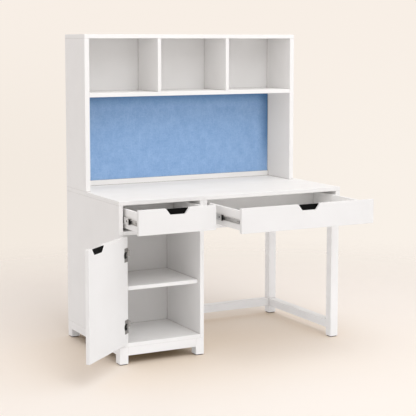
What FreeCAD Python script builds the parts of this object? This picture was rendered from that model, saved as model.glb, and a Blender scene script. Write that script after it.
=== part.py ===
"""Student desk with a hutch: cabinet on the left, open leg frame on the right, two drawers,
one door.  Millimetres, +X to the right, +Y to the back, +Z up.

Places are written from the desk's front left corner on the floor.  The document's origin is
the middle of the front left foot's glide, on the floor, so place() takes that offset off.
The drawers stand partly open and the door stands open, by the last values of the list.
"""
import FreeCAD, Part
import math
import os
import re
import Sketcher
from FreeCAD import Placement, Rotation, Vector

SIZES = [
    ("desk_width", 1200, "desktop, left to right"),
    ("desk_depth", 650, "desktop, front to back"),
    ("desk_height", 760, "floor to the desktop's upper face"),
    ("top_thick", 20, "desktop"),
    ("cabinet_width", 434, "outside of the cabinet"),
    ("side_thick", 20, "cabinet sides"),
    ("board_thick", 18, "door, fronts, shelves, rails"),
    ("arris", 1, "broken edge of every board"),
    ("back_thick", 6, "back panels"),
    ("back_inset", 20, "rear edge of the sides to the face of the back panels"),
    ("groove_deep", 6, "grooves that hold the back panels"),
    ("groove_play", 0.2, "groove wider than the panel in it, each side"),
    ("foot_width", 42, "block feet, left to right"),
    ("foot_depth", 48, "block feet, front to back"),
    ("foot_free", 43, "floor to the base rails"),
    ("rail_tall", 40, "base rails and stretchers"),
    ("glide_tall", 4, "glides under feet and legs"),
    ("glide_inset", 4, "glide's edge inside the foot's edge"),
    ("bay_tall", 137, "drawer bay with its board, below the desktop"),
    ("shelf_at", 342, "floor to the underside of the adjustable shelf"),
    ("cupboard_deep", 358, "front edges to the face of the panel behind the cupboard"),
    ("shelf_setback", 25, "adjustable shelf behind the front edges"),
    ("shelf_play", 0.5, "adjustable shelf to the panel beside it"),
    ("pin_radius", 2.5, "shelf pins"),
    ("pin_out", 8, "shelf pin standing out of the side"),
    ("pin_in", 10, "shelf pin inside the side"),
    ("pin_play", 0.05, "radial play of a shelf pin in its hole"),
    ("pin_margin", 60, "shelf pins from the shelf's front and rear edge"),
    ("leg_width", 43, "square legs and stretchers"),
    ("leg_inset", 5, "legs inside the desktop's right end"),
    ("bay_side_thick", 25, "right panel of the drawer bay"),
    ("bay_rail_deep", 54, "rail under the wide drawer, front to back"),
    ("hutch_depth", 255, "hutch, front to back"),
    ("hutch_height", 755, "desktop to the hutch's upper face"),
    ("hutch_inset", 30, "hutch inside the desktop's right end"),
    ("hutch_side_thick", 24, "hutch sides"),
    ("hutch_board", 20, "hutch top and shelf"),
    ("hutch_shelf_at", 474, "desktop to the upper face of the hutch shelf"),
    ("hutch_rail_tall", 26, "rail under the pinboard"),
    ("pinboard_thick", 10, "pinboard with its cloth"),
    ("cloth_thick", 1.2, "cloth of the pinboard"),
    ("cloth_play", 0.3, "pinboard to the boards round it"),
    ("dowel_radius", 4, "wooden dowels"),
    ("dowel_down", 18, "dowel in the board below the joint"),
    ("dowel_up", 12, "dowel in the board above the joint"),
    ("dowel_play", 0.05, "radial play of a dowel"),
    ("dowel_tip", 0.5, "bore deeper than its dowel"),
    ("dowel_margin", 50, "dowels from the front edge of a joint"),
    ("reveal", 2.5, "gap round the door and the drawer fronts"),
    ("notch_top", 118, "finger notch at the edge of the board"),
    ("notch_low", 74, "finger notch at its floor"),
    ("notch_deep", 29, "finger notch"),
    ("door_notch_at", 92, "middle of the door's notch from its free edge"),
    ("pull_drop", 2.5, "pull insert below the board's edge"),
    ("pull_play", 0.1, "pull insert to the slanted ends of the notch"),
    ("pull_corner", 1.2, "cut lower corners of the pull insert"),
    ("pull_front", 12, "face of the pull insert behind the board's front face"),
    ("pull_thick", 4.5, "pull insert, front to back"),
    ("pull_hollow", 2, "finger hollow in the pull insert"),
    ("pull_wall", 3, "rim round the finger hollow"),
    ("box_below", 11, "drawer box above the lower edge of its front"),
    ("box_above", 14, "drawer box below the upper edge of its front"),
    ("small_box_deep", 390, "box of the small drawer behind its front"),
    ("wide_box_deep", 485, "box of the wide drawer behind its front"),
    ("box_side", 12, "drawer sides and backs"),
    ("box_floor", 6, "drawer bottom"),
    ("box_floor_at", 8, "drawer bottom above the box's lower edge"),
    ("box_groove", 5, "grooves for the drawer bottom"),
    ("slide_room", 13, "space for a slide, wall to drawer side"),
    ("slide_tall", 38, "cabinet member of a slide"),
    ("slide_gauge", 1.2, "sheet of the slides"),
    ("slide_long", 350, "cabinet member of a slide"),
    ("middle_long", 345, "middle member of a slide"),
    ("inner_long", 335, "drawer member of a slide"),
    ("slide_setback", 20, "slides behind the front edges, drawer closed"),
    ("slide_drop", 50, "top of the drawer box to the slide's middle line"),
    ("outer_reach", 9.5, "flanges of the cabinet member from the wall"),
    ("middle_from", 3, "middle member from the wall"),
    ("middle_reach", 11.3, "flanges of the middle member from the wall"),
    ("inner_from", 5.2, "flanges of the drawer member from the wall"),
    ("ball_room", 3.4, "space for the balls between two members"),
    ("cage_play", 0.3, "ball cage to the members beside it"),
    ("cage_wide", 4.8, "ball cages"),
    ("cage_length", 120, "ball cages"),
    ("stop_thick", 1.2, "end stop on the middle member"),
    ("stop_long", 14, "end stop on the middle member"),
    ("knuckle_radius", 2.2, "hinge knuckles"),
    ("hinge_pin_radius", 1, "hinge pins"),
    ("hinge_pin_play", 0.05, "radial play of a hinge pin"),
    ("knuckle_half", 10, "half height of the middle knuckle"),
    ("knuckle_play", 0.3, "gap between two knuckles"),
    ("leaf_half", 18, "half height of the hinge leaves"),
    ("leaf_thick", 0.9, "hinge leaves in the door gap"),
    ("hinge_inset", 83, "hinges from the ends of the door"),
    ("flange_half", 32, "half height of the hinge flange"),
    ("flange_thick", 1, "hinge flange on the door"),
    ("cup_edge", 22.5, "middle of the hinge cup from the door's edge"),
    ("cup_radius", 17.5, "hinge cup"),
    ("cup_deep", 11.5, "hinge cup"),
    ("cup_wall", 1.2, "hinge cup"),
    ("cup_play", 0.1, "bore round the hinge cup"),
    ("arm_half", 13, "half height of the hinge arm"),
    ("arm_nose", 42, "nose of the hinge arm from the side panel"),
    ("arm_thick", 12, "rear of the hinge arm from the side panel"),
    ("arm_gap", 0.6, "hinge arm behind the closed hinge flange"),
    ("arm_end", 85, "rear end of the hinge arm from the front edges"),
    ("plate_half", 24, "half height of the hinge plate"),
    ("plate_thick", 2, "hinge plate on the side panel"),
    ("plate_from", 37, "front end of the hinge plate from the front edges"),
    ("plate_to", 60, "rear end of the hinge plate from the front edges"),
    ("screw_radius", 1.7, "shank of the hinge screws"),
    ("screw_head", 3.4, "radius of the hinge screw heads"),
    ("head_tall", 1.4, "hinge screw heads"),
    ("screw_in", 11, "hinge screws inside the board"),
    ("screw_play", 0.05, "radial play of a hinge screw"),
    ("screw_margin", 5.5, "hinge screws from the end of their plate"),
    ("small_pull", 165, "small drawer, as it stands open"),
    ("wide_pull", 325, "wide drawer, as it stands open"),
    ("door_angle", 139, "door, as it stands open, in degrees"),
]

DOC = FreeCAD.newDocument("student_desk")
NAMES = {name for name, _, _ in SIZES}
NODES = []
ORIGINS = {}

BASE_TOP = "(foot_free + rail_tall)"
UNDER_TOP = "(desk_height - top_thick)"
BAY_FOOT = "(desk_height - top_thick - bay_tall)"
INNER_RIGHT = "(cabinet_width - side_thick)"
INNER_WIDTH = "(cabinet_width - 2 * side_thick)"
BACK_FACE = "(desk_depth - back_inset)"
DIVIDER_TOP = "(desk_height - top_thick - bay_tall + board_thick)"
BAY_LEFT = "(cabinet_width + board_thick)"
BAY_RIGHT = "(desk_width - bay_side_thick)"
LEG_LEFT = "(desk_width - leg_inset - leg_width)"
LEG_BACK = "(desk_depth - leg_width)"
HUTCH_FRONT = "(desk_depth - hutch_depth)"
HUTCH_RIGHT = "(desk_width - hutch_inset)"
HUTCH_SPAN = "(desk_width - hutch_inset - 2 * hutch_side_thick)"
HUTCH_CEILING = "(desk_height + hutch_height - hutch_board)"
SHELF_TOP = "(desk_height + hutch_shelf_at)"
DOOR_WIDTH = "(cabinet_width - 2 * side_thick - 2 * reveal)"
DOOR_FOOT = "(foot_free + rail_tall + board_thick + reveal)"
DOOR_HEIGHT = f"({BAY_FOOT} - foot_free - rail_tall - board_thick - 2 * reveal)"
FRONT_FOOT = f"({DIVIDER_TOP} + reveal)"
FRONT_HEIGHT = f"({UNDER_TOP} - {DIVIDER_TOP} - 2 * reveal)"
BOX_FOOT = f"({FRONT_FOOT} + box_below)"
BOX_HEAD = f"({FRONT_FOOT} + {FRONT_HEIGHT} - box_above)"
BOX_HEIGHT = f"({BOX_HEAD} - {BOX_FOOT})"
HALF_OUTER = "(slide_tall / 2)"
HALF_MIDDLE = "(slide_tall / 2 - slide_gauge - ball_room)"
HALF_INNER = "(slide_tall / 2 - 2 * slide_gauge - 2 * ball_room)"
AXIS_X = "(side_thick + reveal / 2)"
PANEL_IN = "(knuckle_radius + board_thick)"


def make_sheet():
    """Keep every driving size in a spreadsheet cell with an alias."""
    sheet = DOC.addObject("Spreadsheet::Sheet", "size")
    for row, (name, value, note) in enumerate(SIZES, 1):
        sheet.set(f"A{row}", name)
        sheet.set(f"B{row}", str(value))
        sheet.set(f"C{row}", note)
        sheet.setAlias(f"B{row}", name)
    DOC.recompute()


def in_sheet(text):
    """Point each size name in an expression at its spreadsheet cell."""
    return re.sub(r"[a-z_]+", lambda word: "size." + word[0] if word[0] in NAMES else word[0], text)


def bind(thing, **values):
    """Bind properties to expressions; a double underscore in a key stands for a dot."""
    for key, text in values.items():
        thing.setExpression(key.replace("__", "."), in_sheet(text))


def place(thing, x, y, z):
    """Put a sub-part at a place given from the desk's front left corner."""
    bind(thing, Placement__Base__x=f"{x} - foot_width / 2")
    bind(thing, Placement__Base__y=f"{y} - foot_depth / 2", Placement__Base__z=z)


def node(thing, label):
    """Name a sub-part and put it on the list of files to write."""
    thing.Label = label
    NODES.append(thing)
    return thing


def new_body(name):
    return DOC.addObject("PartDesign::Body", name)


def feature(body, kind, name, at=("0", "0", "0"), **values):
    """Add a primitive feature at a place in its body."""
    thing = body.newObject("PartDesign::" + kind, name)
    bind(thing, Placement__Base__x=at[0], Placement__Base__y=at[1], Placement__Base__z=at[2])
    bind(thing, **values)
    return thing


def block(body, kind, name, low, high):
    """Add or cut a block between two corners."""
    length, width, height = (f"{high[i]} - ({low[i]})" for i in range(3))
    return feature(body, kind, name, low, Length=length, Width=width, Height=height)


def rod(body, kind, name, start, direction, radius, length):
    """Add or cut a cylinder that runs from a point along a direction."""
    thing = body.newObject("PartDesign::" + kind, name)
    thing.Placement = Placement(Vector(), Rotation(Vector(0, 0, 1), Vector(*direction)))
    bind(thing, Placement__Base__x=start[0], Placement__Base__y=start[1])
    bind(thing, Placement__Base__z=start[2], Radius=radius, Height=length)
    return thing


def break_edges(body, base, size="arris"):
    """Chamfer every edge of a board."""
    cut = body.newObject("PartDesign::Chamfer", "arris_cut")
    cut.Base = (base, ["Face1"])
    cut.UseAllEdges = True
    bind(cut, Size=size)
    body.Tip = cut


def plain_board(name, low, size, arris="arris"):
    """A rectangular board with broken edges, its lower corner at low."""
    body = new_body(name)
    blank = block(body, "AdditiveBox", "blank", ("0", "0", "0"), size)
    break_edges(body, blank, arris)
    place(body, *low)
    ORIGINS[name] = low
    return body


def board(name, low, size, arris="arris"):
    return node(plain_board(name, low, size, arris), name)


def local(name, point):
    """A point given from the desk's corner, as seen from a board's own corner."""
    return tuple(f"{point[i]} - ({ORIGINS[name][i]})" for i in range(3))


def body_named(name):
    return next(thing for thing in NODES if thing.Label == name)


def cut_block(name, low, high):
    """Cut a block, given from the desk's corner, out of a board."""
    block(body_named(name), "SubtractiveBox", "groove", local(name, low), local(name, high))


def group(name, things):
    """One node of several separate solids."""
    pair = DOC.addObject("Part::Compound", name)
    pair.Links = things
    return node(pair, name)


def outline(body, name, points, role="XZ_Plane"):
    """A closed sketch of straight lines whose corners are bound to expressions."""
    sketch = body.newObject("Sketcher::SketchObject", name)
    plane = next(f for f in body.Origin.OriginFeatures if f.Role == role)
    sketch.AttachmentSupport = [(plane, "")]
    sketch.MapMode = "FlatFace"
    turn = 2 * math.pi / len(points)
    ring = [Vector(math.cos(i * turn), math.sin(i * turn), 0) for i in range(len(points))]
    for i, corner in enumerate(ring):
        sketch.addGeometry(Part.LineSegment(corner, ring[(i + 1) % len(ring)]), False)
    for i in range(len(points)):
        sketch.addConstraint(Sketcher.Constraint("Coincident", i, 2, (i + 1) % len(points), 1))
    for i, point in enumerate(points):
        for word, text, axis in zip("XY", point, (-2, -1)):
            pin_corner(sketch, i, word, text, axis)
    return sketch


def pin_corner(sketch, corner, word, text, axis):
    """Fix one coordinate of a sketch corner."""
    if text == "0":
        sketch.addConstraint(Sketcher.Constraint("PointOnObject", corner, 1, axis))
        return
    index = sketch.addConstraint(Sketcher.Constraint("Distance" + word, -1, 1, corner, 1, 1.0))
    sketch.renameConstraint(index, f"{word}{corner}")
    sketch.setExpression(f"Constraints.{word}{corner}", in_sheet(text))


def pad(body, sketch, length, backward=True):
    thing = body.newObject("PartDesign::Pad", "pad")
    thing.Profile = sketch
    thing.Reversed = backward
    bind(thing, Length=length)
    return thing


def channel(body, near, far, half, web_near, side):
    """Sketch a C section of slide_gauge sheet; side is 1 or -1, for left or right."""
    web, tip = (near, far) if web_near else (far, near)
    inner = f"({web} + slide_gauge)" if web_near else f"({web} - slide_gauge)"
    ledge = f"({half} - slide_gauge)"
    corners = [(web, f"-{half}"), (tip, f"-{half}"), (tip, f"-{ledge}"), (inner, f"-{ledge}")]
    corners += [(inner, ledge), (tip, ledge), (tip, half), (web, half)]
    signed = [(x if x == "0" else f"{side} * {x}", y) for x, y in corners]
    return outline(body, "section", signed)


# ---- desk ---------------------------------------------------------------------------------


def build_desk():
    """Desktop, cabinet, base frame, leg frame and drawer bay."""
    board("desktop", ("0", "0", UNDER_TOP), ("desk_width", "desk_depth", "top_thick"))
    side_size = ("side_thick", "desk_depth", f"{UNDER_TOP} - {BASE_TOP}")
    board("cabinet_left_side", ("0", "0", BASE_TOP), side_size)
    board("cabinet_right_side", (INNER_RIGHT, "0", BASE_TOP), side_size)
    for name, height in (("cabinet_bottom", BASE_TOP), ("cabinet_divider", BAY_FOOT)):
        board(name, ("side_thick", "0", height), (INNER_WIDTH, BACK_FACE, "board_thick"))
    build_back("cabinet_back", "side_thick", INNER_RIGHT, BASE_TOP, UNDER_TOP)
    for name in ("cabinet_left_side", "cabinet_right_side"):
        cut_back_groove(name, "side_thick", INNER_RIGHT, BASE_TOP, UNDER_TOP)
    low = ("side_thick", "cupboard_deep", f"{BASE_TOP} + board_thick")
    size = (INNER_WIDTH, "back_thick", f"{BAY_FOOT} - {BASE_TOP} - board_thick")
    board("cupboard_back", low, size, "arris / 2")
    build_base()
    build_leg_frame()
    build_bay()
    build_shelf()


def build_back(name, left, right, foot, head):
    """A thin back panel whose left and right edges sit in grooves."""
    low = (f"{left} - groove_deep + groove_play", BACK_FACE, foot)
    size = (f"{right} - {left} + 2 * groove_deep - 2 * groove_play", "back_thick", f"{head} - {foot}")
    board(name, low, size, "arris / 2")


def cut_back_groove(name, left, right, foot, head):
    """The groove for a back panel between left and right, cut in one of the sides."""
    low = (f"{left} - groove_deep", f"{BACK_FACE} - groove_play", f"{foot} - arris")
    high = (f"{right} + groove_deep", f"{BACK_FACE} + back_thick + groove_play", f"{head} + arris")
    cut_block(name, low, high)


def build_base():
    """Four block feet with glides, and the rails between them."""
    right = "(cabinet_width - foot_width)"
    rear = "(desk_depth - foot_depth)"
    corners = [("0", "0"), (right, "0"), ("0", rear), (right, rear)]
    foot_size = ("foot_width", "foot_depth", f"{BASE_TOP} - glide_tall")
    feet = [plain_board(f"foot_{i}", (x, y, "glide_tall"), foot_size) for i, (x, y) in enumerate(corners)]
    group("cabinet_feet", feet)
    across = (f"{right} - foot_width", "board_thick", "rail_tall")
    board("base_front_rail", ("foot_width", "0", "foot_free"), across)
    board("base_rear_rail", ("foot_width", "desk_depth - board_thick", "foot_free"), across)
    along = ("board_thick", f"{rear} - foot_depth", "rail_tall")
    places = {"left": "0", "right": "cabinet_width - board_thick"}
    rails = [plain_board(f"rail_{key}", (x, "foot_depth", "foot_free"), along) for key, x in places.items()]
    group("base_side_rails", rails)
    glides = [glide(f"glide_{i}", x, y, "foot_width", "foot_depth") for i, (x, y) in enumerate(corners)]
    for key, y in (("front", "0"), ("rear", LEG_BACK)):
        glides.append(glide(f"glide_{key}", LEG_LEFT, y, "leg_width", "leg_width"))
    group("glides", glides)


def glide(name, x, y, wide, deep):
    """A dark pad under a foot, a little smaller than the foot."""
    low = (f"{x} + glide_inset", f"{y} + glide_inset", "0")
    size = (f"{wide} - 2 * glide_inset", f"{deep} - 2 * glide_inset", "glide_tall")
    return plain_board(name, low, size)


def build_leg_frame():
    """Two square legs at the right end, and the stretchers near the floor."""
    leg_size = ("leg_width", "leg_width", f"{BAY_FOOT} - glide_tall")
    board("front_leg", (LEG_LEFT, "0", "glide_tall"), leg_size)
    board("rear_leg", (LEG_LEFT, LEG_BACK, "glide_tall"), leg_size)
    side_size = ("leg_width", f"{LEG_BACK} - leg_width", "rail_tall")
    board("side_stretcher", (LEG_LEFT, "leg_width", "foot_free"), side_size)
    rear_size = (f"{LEG_LEFT} - cabinet_width", "leg_width", "rail_tall")
    board("rear_stretcher", ("cabinet_width", LEG_BACK, "foot_free"), rear_size)


def build_bay():
    """The space under the desktop that the wide drawer runs in."""
    board("bay_left_panel", ("cabinet_width", "0", BAY_FOOT), ("board_thick", "desk_depth", "bay_tall"))
    board("bay_right_panel", (BAY_RIGHT, "0", BAY_FOOT), ("bay_side_thick", "desk_depth", "bay_tall"))
    span = f"{BAY_RIGHT} - {BAY_LEFT}"
    board("bay_front_rail", (BAY_LEFT, "0", BAY_FOOT), (span, "bay_rail_deep", "board_thick"))
    apron_size = (span, "board_thick", "bay_tall")
    board("rear_apron", (BAY_LEFT, "desk_depth - board_thick", BAY_FOOT), apron_size)


def build_shelf():
    """The adjustable shelf on four pins."""
    low = ("side_thick + shelf_play", "shelf_setback", "shelf_at")
    deep = "cupboard_deep - shelf_setback - shelf_play"
    board("adjustable_shelf", low, (f"{INNER_WIDTH} - 2 * shelf_play", deep, "board_thick"))
    height = "(shelf_at - pin_radius)"
    rows = ("(shelf_setback + pin_margin)", "(cupboard_deep - pin_margin)")
    pins = []
    walls = (("cabinet_left_side", "side_thick", 1), ("cabinet_right_side", INNER_RIGHT, -1))
    for name, face, sign in walls:
        for i, y in enumerate(rows):
            start = (f"{face} - {sign} * pin_in", y, height)
            pins.append(new_rod(f"pin_{name}_{i}", start, (sign, 0, 0), "pin_radius", "pin_in + pin_out"))
            hole_start = local(name, (face, y, height))
            rod(body_named(name), "SubtractiveCylinder", "pin_hole", hole_start, (-sign, 0, 0),
                "pin_radius + pin_play", "pin_in")
    group("shelf_pins", pins)


def new_rod(name, start, direction, radius, length):
    """A plain cylinder as a body of its own."""
    body = new_body(name)
    rod(body, "AdditiveCylinder", "rod", ("0", "0", "0"), direction, radius, length)
    place(body, *start)
    return body


# ---- hutch --------------------------------------------------------------------------------


def build_hutch():
    """The hutch on the rear of the desktop, with three cubbies over a pinboard."""
    side_size = ("hutch_side_thick", "hutch_depth", f"{HUTCH_CEILING} - desk_height")
    right_side = f"({HUTCH_RIGHT} - hutch_side_thick)"
    board("hutch_left_side", ("0", HUTCH_FRONT, "desk_height"), side_size)
    board("hutch_right_side", (right_side, HUTCH_FRONT, "desk_height"), side_size)
    board("hutch_top", ("0", HUTCH_FRONT, HUTCH_CEILING), (HUTCH_RIGHT, "hutch_depth", "hutch_board"))
    deep = "(hutch_depth - back_inset)"
    board("hutch_shelf", ("hutch_side_thick", HUTCH_FRONT, f"{SHELF_TOP} - hutch_board"),
          (HUTCH_SPAN, deep, "hutch_board"))
    cubby = f"(({HUTCH_SPAN} - 2 * board_thick) / 3)"
    for name, number in (("hutch_left_divider", 1), ("hutch_right_divider", 2)):
        x = f"hutch_side_thick + {number} * {cubby} + {number - 1} * board_thick"
        board(name, (x, HUTCH_FRONT, SHELF_TOP), ("board_thick", deep, f"{HUTCH_CEILING} - {SHELF_TOP}"))
    build_back("hutch_back", "hutch_side_thick", right_side, "desk_height", HUTCH_CEILING)
    for name in ("hutch_left_side", "hutch_right_side"):
        cut_back_groove(name, "hutch_side_thick", right_side, "desk_height", HUTCH_CEILING)
    rail_low = ("hutch_side_thick", f"{BACK_FACE} - board_thick", "desk_height")
    board("hutch_bottom_rail", rail_low, (HUTCH_SPAN, "board_thick", "hutch_rail_tall"))
    build_pinboard()


def build_pinboard():
    """A board wrapped in cloth, between the rail and the shelf."""
    wide = f"({HUTCH_SPAN} - 2 * cloth_play)"
    tall = f"({SHELF_TOP} - hutch_board - desk_height - hutch_rail_tall - 2 * cloth_play)"
    left = "(hutch_side_thick + cloth_play)"
    foot = "(desk_height + hutch_rail_tall + cloth_play)"
    front = f"({BACK_FACE} - pinboard_thick)"
    cloth = new_body("pinboard_fabric")
    block(cloth, "AdditiveBox", "wrap", ("0", "0", "0"), (wide, "pinboard_thick", tall))
    edge = "cloth_thick"
    block(cloth, "SubtractiveBox", "inside", (edge, edge, edge),
          (f"{wide} - cloth_thick", "2 * pinboard_thick", f"{tall} - cloth_thick"))
    place(cloth, left, front, foot)
    node(cloth, "pinboard_fabric")
    core = new_body("pinboard_core")
    block(core, "AdditiveBox", "blank", ("0", "0", "0"),
          (f"{wide} - 2 * cloth_thick", "pinboard_thick - cloth_thick", f"{tall} - 2 * cloth_thick"))
    place(core, f"{left} + cloth_thick", f"{front} + cloth_thick", f"{foot} + cloth_thick")
    node(core, "pinboard_core")


def build_dowels():
    """Dowels that stand across the level joints, half in each board."""
    bay_middle = "(cabinet_width + board_thick / 2)"
    bay_end = "(desk_width - bay_side_thick / 2)"
    hutch_end = f"({HUTCH_RIGHT} - hutch_side_thick / 2)"
    desk_rows = ("dowel_margin", "(desk_depth - 2 * dowel_margin)")
    hutch_rows = (f"({HUTCH_FRONT} + dowel_margin)", "(desk_depth - dowel_margin)")
    joints = [
        ("side_thick / 2", desk_rows, UNDER_TOP, "cabinet_left_side", "desktop"),
        ("(cabinet_width - side_thick / 2)", desk_rows, UNDER_TOP, "cabinet_right_side", "desktop"),
        (bay_middle, desk_rows, UNDER_TOP, "bay_left_panel", "desktop"),
        (bay_end, desk_rows, UNDER_TOP, "bay_right_panel", "desktop"),
        ("hutch_side_thick / 2", hutch_rows, HUTCH_CEILING, "hutch_left_side", "hutch_top"),
        (hutch_end, hutch_rows, HUTCH_CEILING, "hutch_right_side", "hutch_top"),
    ]
    dowels = []
    for x, rows, height, lower, upper in joints:
        for y in rows:
            start = (x, y, f"{height} - dowel_down")
            name = f"dowel_{len(dowels)}"
            dowels.append(new_rod(name, start, (0, 0, 1), "dowel_radius", "dowel_down + dowel_up"))
            bore(lower, (x, y, height), -1, "dowel_down")
            bore(upper, (x, y, height), 1, "dowel_up")
    group("dowels", dowels)


def bore(name, mouth, sign, depth):
    """A vertical dowel hole from a board's face."""
    rod(body_named(name), "SubtractiveCylinder", "dowel_bore", local(name, mouth), (0, 0, sign),
        "dowel_radius + dowel_play", f"{depth} + dowel_tip")


# ---- door and drawer fronts ---------------------------------------------------------------


def notched_panel(name, wide, tall, middle):
    """A board in the XZ plane with a finger notch in its upper edge."""
    body = new_body(name)
    points = [
        ("0", "0"),
        (wide, "0"),
        (wide, tall),
        (f"{middle} + notch_top / 2", tall),
        (f"{middle} + notch_low / 2", f"{tall} - notch_deep"),
        (f"{middle} - notch_low / 2", f"{tall} - notch_deep"),
        (f"{middle} - notch_top / 2", tall),
        ("0", tall),
    ]
    slab = pad(body, outline(body, "face", points), "board_thick")
    break_edges(body, slab)
    return body


def pull_insert(name):
    """A black plate that closes the notch, with a shallow finger hollow in its face.

    Its origin is the middle of the panel's upper edge, in the plane of the plate's face.
    """
    body = new_body(name)
    face = outline(body, "face", notch_part("pull_drop", "notch_deep", "pull_play"))
    plate = pad(body, face, "pull_thick")
    rim = "(pull_play + pull_wall)"
    hollow = notch_part("(pull_drop + pull_wall)", "(notch_deep - pull_wall)", rim)
    cut = body.newObject("PartDesign::Pocket", "hollow")
    cut.Profile = outline(body, "hollow_edge", hollow)
    bind(cut, Length="pull_hollow")
    DOC.recompute()
    if not cut.Shape.Volume < plate.Shape.Volume:
        raise RuntimeError(f"{name}: the plate has no hollow")
    return body


def notch_part(head, foot, rim):
    """Corners of the notch's shape from head to foot below the edge, narrower by rim."""
    slope = "((notch_top - notch_low) / 2 / notch_deep)"
    corner = f"({foot} - pull_corner)"
    top, bend, low = (f"(notch_top / 2 - {slope} * {at} - {rim})" for at in (head, corner, foot))
    toe = f"({low} - pull_corner)"
    right = [(toe, f"-{foot}"), (bend, f"-{corner}"), (top, f"-{head}")]
    return right + [(f"-{x}", y) for x, y in reversed(right)]


def build_drawer(kind, left, right, pull):
    """Front, pull, box and slides of one drawer between two walls."""
    front_y = f"-{pull}"
    inner_y = f"(board_thick - {pull})"
    wide = f"({right} - {left} - 2 * reveal)"
    front = notched_panel(f"{kind}_drawer_front", wide, FRONT_HEIGHT, f"({wide} / 2)")
    place(front, f"{left} + reveal", front_y, FRONT_FOOT)
    node(front, f"{kind}_drawer_front")
    insert = pull_insert(f"{kind}_drawer_pull")
    place(insert, f"({left} + {right}) / 2", f"(pull_front - {pull})", f"{FRONT_FOOT} + {FRONT_HEIGHT}")
    node(insert, f"{kind}_drawer_pull")
    build_box(kind, f"({left} + slide_room)", f"({right} - slide_room)", inner_y)
    build_slides(kind, left, right, pull)


def build_box(kind, left, right, front):
    """Sides, back and bottom of a drawer box."""
    deep = f"{kind}_box_deep"
    side_size = ("box_side", deep, BOX_HEIGHT)
    inner_left, inner_right = f"({left} + box_side)", f"({right} - box_side)"
    floor = f"({BOX_FOOT} + box_floor_at)"
    rear = f"({front} + {deep})"
    sides = (("left", left), ("right", f"({right} - box_side)"))
    for key, x in sides:
        name = f"{kind}_drawer_{key}_side"
        board(name, (x, front, BOX_FOOT), side_size)
        low = (f"{inner_left} - box_groove", f"{front} - arris", f"{floor} - groove_play")
        high = (f"{inner_right} + box_groove", rear, f"{floor} + box_floor + groove_play")
        cut_block(name, low, high)
    back_foot = f"({floor} + box_floor)"
    back_size = (f"{inner_right} - {inner_left}", "box_side", f"{BOX_HEAD} - {back_foot}")
    board(f"{kind}_drawer_back", (inner_left, f"{rear} - box_side", back_foot), back_size)
    grip = "(box_groove - groove_play)"
    bottom_size = (f"{inner_right} - {inner_left} + 2 * {grip}", deep, "box_floor")
    board(f"{kind}_drawer_bottom", (f"{inner_left} - {grip}", front, floor), bottom_size, "arris / 2")


def build_slides(kind, left, right, pull):
    """Telescopic slides: three members each, ball cages and an end stop."""
    height = f"({BOX_HEAD} - slide_drop)"
    members = {"outer": [], "middle": [], "inner": [], "retainers": []}
    for wall, sign, key in ((left, 1, "left"), (right, -1, "right")):
        at = {"outer": "slide_setback"}
        at["middle"] = f"slide_setback - {pull} / 2"
        at["inner"] = f"slide_setback - {pull}"
        sections = {
            "outer": ("0", "outer_reach", HALF_OUTER, True, "slide_long"),
            "middle": ("middle_from", "middle_reach", HALF_MIDDLE, True, "middle_long"),
            "inner": ("inner_from", "slide_room", HALF_INNER, False, "inner_long"),
        }
        for part, (near, far, half, web_near, length) in sections.items():
            body = new_body(f"{kind}_{part}_{key}")
            pad(body, channel(body, near, far, half, web_near, sign), length)
            place(body, wall, at[part], height)
            members[part].append(body)
        members["retainers"] += retainers(f"{kind}_{key}", wall, sign, at["middle"], height)
    for part, bodies in members.items():
        group(f"{kind}_slide_{part}", bodies)


def retainers(name, wall, sign, front, height):
    """Two pairs of ball cages and one end stop, all carried by a middle member."""
    rear = "(middle_long - cage_play)"
    outer_low = f"({HALF_MIDDLE} + cage_play)"
    inner_low = f"({HALF_INNER} + cage_play)"
    tall = "(ball_room - 2 * cage_play)"
    cages = [
        ("outer", "middle_from", f"({rear} - cage_length)", outer_low),
        ("inner", "inner_from", "stop_long", inner_low),
    ]
    things = []
    for key, near, start, low in cages:
        for above in (1, -1):
            body = new_body(f"{name}_{key}_cage")
            strip = [(f"{sign} * {near}", f"{above} * {low}")]
            strip.append((f"{sign} * ({near} + cage_wide)", f"{above} * {low}"))
            strip.append((f"{sign} * ({near} + cage_wide)", f"{above} * ({low} + {tall})"))
            strip.append((f"{sign} * {near}", f"{above} * ({low} + {tall})"))
            pad(body, outline(body, "section", strip), "cage_length")
            place(body, wall, f"{front} + {start}", height)
            things.append(body)
    stop = new_body(f"{name}_stop")
    near, half = f"{sign} * (middle_from - stop_thick)", HALF_MIDDLE
    far = f"{sign} * middle_from"
    plate = [(near, f"-{half}"), (far, f"-{half}"), (far, half), (near, half)]
    pad(stop, outline(stop, "section", plate), "stop_long")
    place(stop, wall, front, height)
    return things + [stop]


# ---- door and hinges ----------------------------------------------------------------------


def hang(body, height, label=None):
    """Place a piece of the door: its own origin is on the hinge line, door closed."""
    body.Placement = Placement(Vector(), Rotation(Vector(0, 0, 1), -1))
    place(body, AXIS_X, "-knuckle_radius", height)
    bind(body, Placement__Rotation__Angle="-door_angle")
    return node(body, label) if label else body


def hinge_heights():
    return (f"({DOOR_FOOT} + hinge_inset)", f"({DOOR_FOOT} + {DOOR_HEIGHT} - hinge_inset)")


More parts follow.
